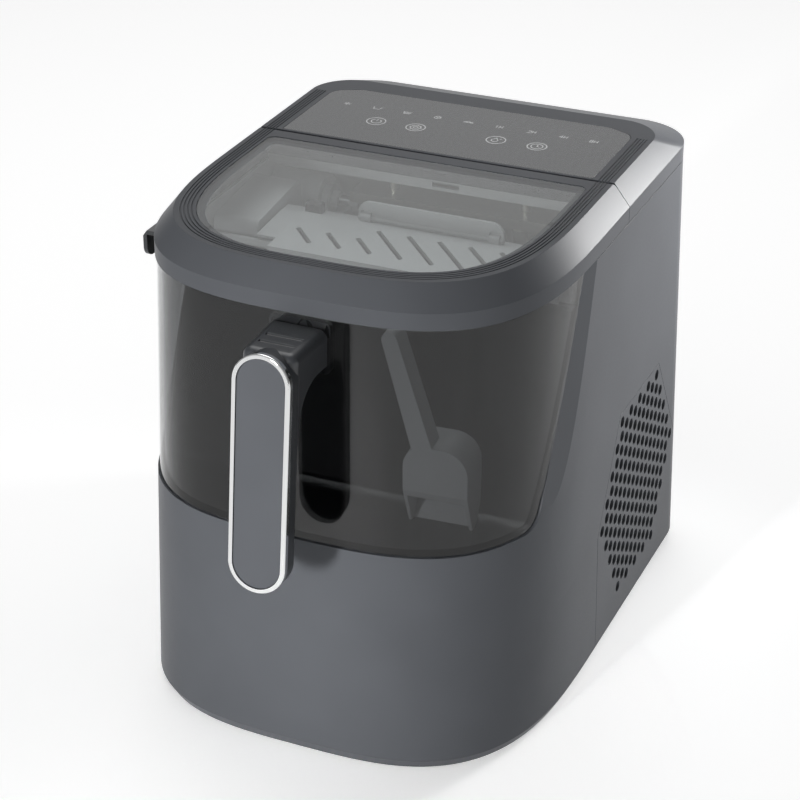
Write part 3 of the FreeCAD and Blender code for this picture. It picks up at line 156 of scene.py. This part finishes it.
def moulded(name, code, roughness, grain=0.9, relief=0.02, edge=0.25, variation=0.05, **sockets):
    """Moulded plastic: colour drifts a little over 60 mm, and a fine grain of the given size
    and relief in millimetres roughens it. Edges are rounded by edge millimetres in its shading."""
    material = empty_material(name)
    tree = material.node_tree
    place = add(tree, "TexCoord").outputs["Object"]
    flow = add(tree, "TexNoise", {"Vector": place, "Scale": 1 / (60 * mm), "Detail": 2.0}).outputs["Fac"]
    shade = add(tree, "MapRange", {"Value": flow, "From Min": 0.3, "From Max": 0.7,
                                   "To Min": 1 - variation, "To Max": 1 + variation}).outputs[0]
    colour = add(tree, "Mix", {0: 1.0, 6: linear(code)}, data_type="RGBA", blend_type="MULTIPLY")
    grains = add(tree, "TexNoise", {"Vector": place, "Scale": 1 / (grain * mm),
                                    "Detail": 1.0}).outputs["Fac"]
    gloss = add(tree, "MapRange", {"Value": grains, "To Min": roughness - 0.05,
                                   "To Max": roughness + 0.05}).outputs[0]
    soft = add(tree, "Bevel", {"Radius": edge * mm}, samples=4).outputs[0]
    normal = add(tree, "Bump", {"Height": grains, "Distance": relief * mm, "Strength": 0.6,
                                "Normal": soft}).outputs[0]
    tint = add(tree, "CombineColor", {"Red": shade, "Green": shade, "Blue": shade}).outputs[0]
    tree.links.new(tint, colour.inputs[7])
    surface = add(tree, "BsdfPrincipled", {"Base Color": colour.outputs[2], "Roughness": gloss,
                                           "Normal": normal, **sockets})
    add(tree, "OutputMaterial", {"Surface": surface.outputs[0]})
    return material


def finish(material, *names):
    """Gives CAD nodes this material in each of their slots."""
    for name in names:
        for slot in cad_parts[name].material_slots:
            slot.material = material


grey_abs = moulded("grey_moulded_abs", "#4f5155", 0.36, IOR=1.53, **{"Specular IOR Level": 0.06})
finish(grey_abs, "main_housing", "rear_cover", "top_cover", "lid_frame", "base_tray", "handle_inlay")

# ---- feet and grommets -------------------------------------------------------------------
# Pads under the tray and bushes under the compressor: moulded black EPDM rubber, matt, with
# the dusty bloom that such rubber takes.
rubber = moulded("black_epdm_rubber", "#1b1b1c", 0.8, grain=0.6, relief=0.05, IOR=1.52)
finish(rubber, "feet", "compressor_grommets", "drain_cap")

# ---- screws, shafts and hinge pins -------------------------------------------------------
# Turned steel, zinc plated and rolled: bright, with fine rings left by the tool.


wave_length = 2 * math.pi / 20  # the wave node's own band spacing at scale 1


def turned_metal(name, code, roughness, pitch=0.69, relief=0.01):
    """Metal with fine turning marks: a wave of the given pitch in millimetres, in relief."""
    material = empty_material(name)
    tree = material.node_tree
    place = add(tree, "TexCoord").outputs["Object"]
    marks = add(tree, "TexWave", {"Vector": place, "Scale": wave_length / (pitch * mm),
                                  "Distortion": 2.0, "Detail": 2.0}).outputs["Fac"]
    stain = add(tree, "TexNoise", {"Vector": place, "Scale": 1 / (4 * mm), "Detail": 3.0}).outputs["Fac"]
    gloss = add(tree, "MapRange", {"Value": stain, "To Min": roughness - 0.08,
                                   "To Max": roughness + 0.08}).outputs[0]
    normal = add(tree, "Bump", {"Height": marks, "Distance": relief * mm, "Strength": 0.5}).outputs[0]
    surface = add(tree, "BsdfPrincipled", {"Base Color": linear(code), "Metallic": 1.0,
                                           "Roughness": gloss, "Normal": normal})
    add(tree, "OutputMaterial", {"Surface": surface.outputs[0]})
    return material


plated_steel = turned_metal("zinc_plated_steel", "#c4c6c6", 0.32)
finish(plated_steel, "body_screws", "grommet_screws", "handle_screws", "lid_hinge_pins", "tray_shafts")

# ---- touch panel -------------------------------------------------------------------------
# Plate under a printed polyester film, smooth and slightly glossy. The symbols are thin
# coats of pale ink: five lamps, four hour marks and four ringed touch keys.
panel_film = moulded("printed_polyester_film", "#3a3c3e", 0.27, grain=0.5, relief=0.004, variation=0.02,
                     IOR=1.58)
finish(panel_film, "control_panel")

panel_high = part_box("control_panel")[1]
ink_t = 0.05 * mm


def ribbon(points, width, closed=False):
    """Flat band along a line in the plane: each point moves half the width both ways along the
    mean of its neighbours' normals, lengthened so that the band keeps its width at a corner."""
    line = np.asarray(points, float)
    if closed:
        runs = np.roll(line, -1, 0) - line
        before = np.roll(runs, 1, 0)
    else:
        runs = np.diff(line, axis=0)
        before = np.vstack([runs[:1], runs])
        runs = np.vstack([runs, runs[-1:]])
    unit_a = before / np.linalg.norm(before, axis=1, keepdims=True)
    unit_b = runs / np.linalg.norm(runs, axis=1, keepdims=True)
    mean = unit_a + unit_b
    mean /= np.linalg.norm(mean, axis=1, keepdims=True)
    reach = width / 2 / np.clip((mean * unit_b).sum(1, keepdims=True), 0.4, 1)
    normal = np.stack([-mean[:, 1], mean[:, 0]], 1) * reach
    count = len(line)
    first = np.arange(count if closed else count - 1)
    after = (first + 1) % count
    faces = np.stack([first, after, after + count, first + count], 1)
    return np.vstack([line - normal, line + normal]), faces


def ring(x, y, radius, start=0.0, end=360.0, steps=28, wave=0.0, lobes=0):
    """Points round a circle, or part of one; wave and lobes ripple its radius like a gear."""
    angle = np.radians(np.linspace(start, end, steps, endpoint=end - start < 360))
    reach = radius + wave * np.cos(lobes * angle)
    return np.stack([x + reach * np.cos(angle), y + reach * np.sin(angle)], 1)


def spoke(x, y, radius, degrees, inner=0.0):
    """A straight line outwards from near a centre."""
    a = math.radians(degrees)
    return [(x + r * math.cos(a), y + r * math.sin(a)) for r in (inner, radius)]


def digits(label, x, y, size):
    """Lines of the hour marks, from the left edge x, in upright strokes of the given height."""
    shapes = {"1": [[(0.1, 0.8), (0.35, 1), (0.35, 0)]],
              "2": [[(0, 0.85), (0.15, 1), (0.45, 1), (0.6, 0.85), (0.6, 0.6), (0, 0), (0.6, 0)]],
              "4": [[(0.45, 0), (0.45, 1), (0, 0.35), (0.65, 0.35)]],
              "8": [[(0.1, 0.55), (0, 0.78), (0.12, 1), (0.48, 1), (0.6, 0.78), (0.5, 0.55), (0.1, 0.55),
                     (0, 0.27), (0.12, 0), (0.48, 0), (0.6, 0.27), (0.5, 0.55)]],
              "H": [[(0, 0), (0, 1)], [(0, 0.5), (0.6, 0.5)], [(0.6, 0), (0.6, 1)]]}
    lines = []
    for symbol in label:
        lines += [[(x + size * a, y + size * (b - 0.5)) for a, b in path] for path in shapes[symbol]]
        x += size * 0.85
    return lines


lamp_inset = 24.5
key_inset = 44.0
lamp_y = panel_high.y / mm - lamp_inset
key_y = panel_high.y / mm - key_inset
key_radius = 5.5
thin = 0.42
snow_x = -76
cube_x = -19
power_x = -49
gear_x = -24.5
clean_x = 24.5
timer_x = 49
bands = []
for turned in range(3):
    bands.append(ribbon(spoke(snow_x, lamp_y, 2.3, 60 * turned + 30, -2.3), thin))
for turned in range(6):
    bands.append(ribbon(ring(snow_x, lamp_y, 1.3, 60 * turned + 8, 60 * turned + 52, 3), thin))
for x, filled in ((-57, 0), (-38, 1)):
    bands.append(ribbon([(x - 2.5, lamp_y + 1.6), (x - 1.7, lamp_y - 1.5), (x + 1.7, lamp_y - 1.5),
                         (x + 2.5, lamp_y + 1.6)], thin))
    if filled:
        bands.append(ribbon([(x - 1.8, lamp_y + 0.5), (x - 0.7, lamp_y + 1.3), (x + 0.4, lamp_y + 0.4),
                             (x + 1.7, lamp_y + 1.2)], thin))
        bands.append(ribbon([(x - 1.6, lamp_y - 0.5), (x + 1.6, lamp_y - 0.5)], thin))
bands.append(ribbon(ring(cube_x, lamp_y, 2.1, 30, 390, 6), thin, True))
for turned in (30, 150, 270):
    bands.append(ribbon(spoke(cube_x, lamp_y, 2.1, turned), thin))
for x, radius in ((-1.5, 1.1), (0.2, 1.6), (1.8, 1.0)):
    bands.append(ribbon(ring(x, lamp_y - 0.4, radius, 0, 180, 12), thin))
bands.append(ribbon([(-2.8, lamp_y - 0.6), (3.0, lamp_y - 0.6)], thin))
for x, label in ((19, "1H"), (39, "2H"), (58, "4H"), (76, "8H")):
    for path in digits(label, x - 2.6, lamp_y, 3.2):
        bands.append(ribbon(path, thin))
for x in (power_x, gear_x, clean_x, timer_x):
    bands.append(ribbon(ring(x, key_y, key_radius, steps=48), 0.6, True))
bands.append(ribbon(ring(power_x, key_y, 2.9, 120, 420), 0.55))
bands.append(ribbon([(power_x, key_y + 0.6), (power_x, key_y + 3.4)], 0.55))
bands.append(ribbon(ring(gear_x, key_y, 3.1, steps=48, wave=0.35, lobes=8), 0.5, True))
bands.append(ribbon(ring(gear_x, key_y, 1.4), 0.5, True))
bands.append(ribbon(ring(clean_x - 0.6, key_y - 0.7, 1.9, 130, 410, 20), 0.5))
bands.append(ribbon([(clean_x - 1.8, key_y + 0.8), (clean_x - 0.6, key_y + 3.0),
                     (clean_x + 0.6, key_y + 0.8)], 0.5))
bands.append(ribbon(spoke(clean_x + 2.2, key_y + 2.0, 0.8, 0, -0.8), 0.4))
bands.append(ribbon(spoke(clean_x + 2.2, key_y + 2.0, 0.8, 90, -0.8), 0.4))
bands.append(ribbon(ring(timer_x, key_y, 3.4, steps=32), 0.55, True))
bands.append(ribbon([(timer_x, key_y + 2.2), (timer_x, key_y),
                     (timer_x + 1.6, key_y - 0.9)], 0.5))


def joined_mesh(name, patches, height):
    """One mesh from flat patches in millimetres, at this height in metres."""
    sizes = np.cumsum([0] + [len(spots) for spots, _ in patches])
    spots = np.vstack([spots for spots, _ in patches]) * mm
    faces = np.vstack([tiles + start for (_, tiles), start in zip(patches, sizes)])
    mesh = bpy.data.meshes.new(name)
    mesh.from_pydata(np.column_stack([spots, np.full(len(spots), height)]).tolist(), [], faces.tolist())
    return mesh


def piece(name, mesh, body, material, wall=0.0, offset=1.0):
    """Object of a mesh in place, riding on a body; wall gives a sheet its thickness."""
    thing = bpy.data.objects.new(name, mesh)
    scene.collection.objects.link(thing)
    mesh.materials.append(material)
    if wall:
        shell = thing.modifiers.new("wall", "SOLIDIFY")
        shell.thickness = wall
        shell.offset = offset
    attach(thing, body)
    return thing


pale_ink = moulded("pale_screen_ink", "#c9cacb", 0.5, grain=0.3, relief=0.005, edge=0.02)
piece("panel_symbols", joined_mesh("panel_symbols", bands, panel_high.z + ink_t * 0.2), "casing",
      pale_ink, ink_t)

# ---- circuit boards ----------------------------------------------------------------------
# Glass-epoxy boards under the panel and beside the left grille, with green solder mask over
# etched copper tracks and flat black parts.
board_laminate = empty_material("green_masked_laminate")
tree = board_laminate.node_tree
place = add(tree, "TexCoord").outputs["Object"]
tracks = add(tree, "TexBrick", {"Vector": place, "Scale": 1 / (9 * mm), "Mortar Size": 0.06,
                                "Color1": linear("#17512f"), "Color2": linear("#1b5a35"),
                                "Mortar": linear("#3f8a55")})
lacquer = add(tree, "BsdfPrincipled", {"Base Color": tracks.outputs["Color"], "Roughness": 0.25,
                                       "Coat Weight": 0.3})
add(tree, "OutputMaterial", {"Surface": lacquer.outputs[0]})
finish(board_laminate, "control_board", "main_board")

# ---- lid window --------------------------------------------------------------------------
# Flat pane of clear SAN, moulded and welded into the lid. It is see-through, a shade grey,
# and mirrors more and more as the view grazes it.


def clear_plastic(name, code, roughness):
    """Clear plastic wall: each face lets light straight through, tinted by code, and mirrors
    4 % of it face on and more at a slant, by Schlick's fifth power rule."""
    material = empty_material(name)
    tree = material.node_tree
    facing = add(tree, "LayerWeight", {"Blend": 0.5}).outputs["Facing"]
    fifth = add(tree, "Math", {0: facing, 1: 5.0}, operation="POWER").outputs[0]
    mirrored = add(tree, "Math", {0: fifth, 1: 0.96, 2: 0.04}, operation="MULTIPLY_ADD").outputs[0]
    through = add(tree, "BsdfTransparent", {"Color": linear(code)}).outputs[0]
    sheen = add(tree, "BsdfGlossy", {"Color": (1, 1, 1, 1), "Roughness": roughness}).outputs[0]
    mixed = add(tree, "MixShader", {0: mirrored, 1: through, 2: sheen}).outputs[0]
    add(tree, "OutputMaterial", {"Surface": mixed})
    return material


clear_pane = clear_plastic("clear_moulded_san", "#f4f6f6", 0.02)
finish(clear_pane, "lid_window")

# ---- ice drawer --------------------------------------------------------------------------
# Bucket with a rounded nose, moulded in smoked clear SAN: dark grey to look through and
# highly polished outside.
smoked_san = clear_plastic("smoked_clear_san", "#c2c3c4", 0.03)
finish(smoked_san, "drawer_bucket")

# ---- drawer handle -----------------------------------------------------------------------
# Long upright grip on a short arm: dark satin ABS, a chrome-plated frame pressed on its
# front and a casing-grey inlay; two screws pull it against a plate inside the drawer.
dark_abs = moulded("dark_satin_abs", "#2f3134", 0.3, IOR=1.53)
finish(dark_abs, "drawer_handle", "handle_backplate", "lid_tab")

chrome_plate = empty_material("bright_chrome_plate")
tree = chrome_plate.node_tree
place = add(tree, "TexCoord").outputs["Object"]
ripple = add(tree, "TexNoise", {"Vector": place, "Scale": 1 / (7 * mm), "Detail": 1.0}).outputs["Fac"]
polish = add(tree, "MapRange", {"Value": ripple, "To Min": 0.03, "To Max": 0.08}).outputs[0]
wavy = add(tree, "Bump", {"Height": ripple, "Distance": 0.01 * mm, "Strength": 0.3}).outputs[0]
plate = add(tree, "BsdfPrincipled", {"Base Color": linear("#eceded"), "Metallic": 1.0, "Roughness": polish,
                                     "Normal": wavy})
add(tree, "OutputMaterial", {"Surface": plate.outputs[0]})
finish(chrome_plate, "handle_trim")

# ---- ice scoop ---------------------------------------------------------------------------
# Small scoop that stands in the drawer: moulded in grey translucent polypropylene.
scoop_pp = moulded("grey_polypropylene", "#b9babb", 0.42, IOR=1.49)
finish(scoop_pp, "ice_scoop")

# ---- drawer bay and machinery plastics ---------------------------------------------------
# Black moulded polypropylene: the sheet behind the drawer, the fan shroud and its blades,
# the pump, sensors, mains inlet and drain fittings.
black_pp = moulded("black_polypropylene", "#242527", 0.5, grain=1.6, relief=0.004, IOR=1.49)
finish(black_pp, "bay_liner", "fan_shroud", "fan_impeller", "water_pump", "power_inlet", "drain_port",
       "ice_sensors")

# ---- ice mechanism -----------------------------------------------------------------------
# Tub, slotted slide, flap, clips, tilting trough and covers: food-safe ABS, pale grey, from
# polished moulds, a little glossy where water keeps it clean.
pale_abs = moulded("pale_food_safe_abs", "#b6b7b8", 0.34, relief=0.01, IOR=1.53)
finish(pale_abs, "ice_tub", "ice_slide", "slide_rail", "ice_flap", "flap_clips", "drive_housing",
       "tilt_motor", "water_tray", "tray_bearing", "evaporator_hood")

# ---- evaporator --------------------------------------------------------------------------
# Cold bar with nine fingers: copper, nickel plated, satin, with a faint bloom of scale.
nickel = turned_metal("satin_nickel_plate", "#b9b6ae", 0.36, pitch=3.95)
finish(nickel, "evaporator")

# ---- refrigerant lines -------------------------------------------------------------------
# Drawn copper tube and the spun copper drier, brown at the brazed ends.
copper_tube = turned_metal("drawn_copper", "#c47a55", 0.3, pitch=5.92, relief=0.005)
finish(copper_tube, "evaporator_lines", "discharge_line", "filter_drier")

# ---- water tank and hoses ----------------------------------------------------------------
# Tank in milky natural polypropylene; soft silicone hoses that let a little light through.
milky_pp = moulded("natural_polypropylene", "#b4b6b6", 0.4, IOR=1.49)
finish(milky_pp, "water_tank")
silicone = moulded("translucent_silicone", "#c6c7c3", 0.35, grain=2.0, IOR=1.41)
finish(silicone, "pump_hose", "drain_hose")

# ---- compressor and motors ---------------------------------------------------------------
# Welded steel pot and fan motor can under stoved black enamel, with fine orange peel.
black_enamel = moulded("stoved_black_enamel", "#101112", 0.22, grain=1.6, relief=0.03, IOR=1.5)
finish(black_enamel, "compressor", "fan_motor")

# ---- condenser ---------------------------------------------------------------------------
# Pressed aluminium fins on hairpin tubes, dull from the press oil.
mill_aluminium = turned_metal("mill_finish_aluminium", "#a9acae", 0.42, pitch=2.37)
finish(mill_aluminium, "condenser")
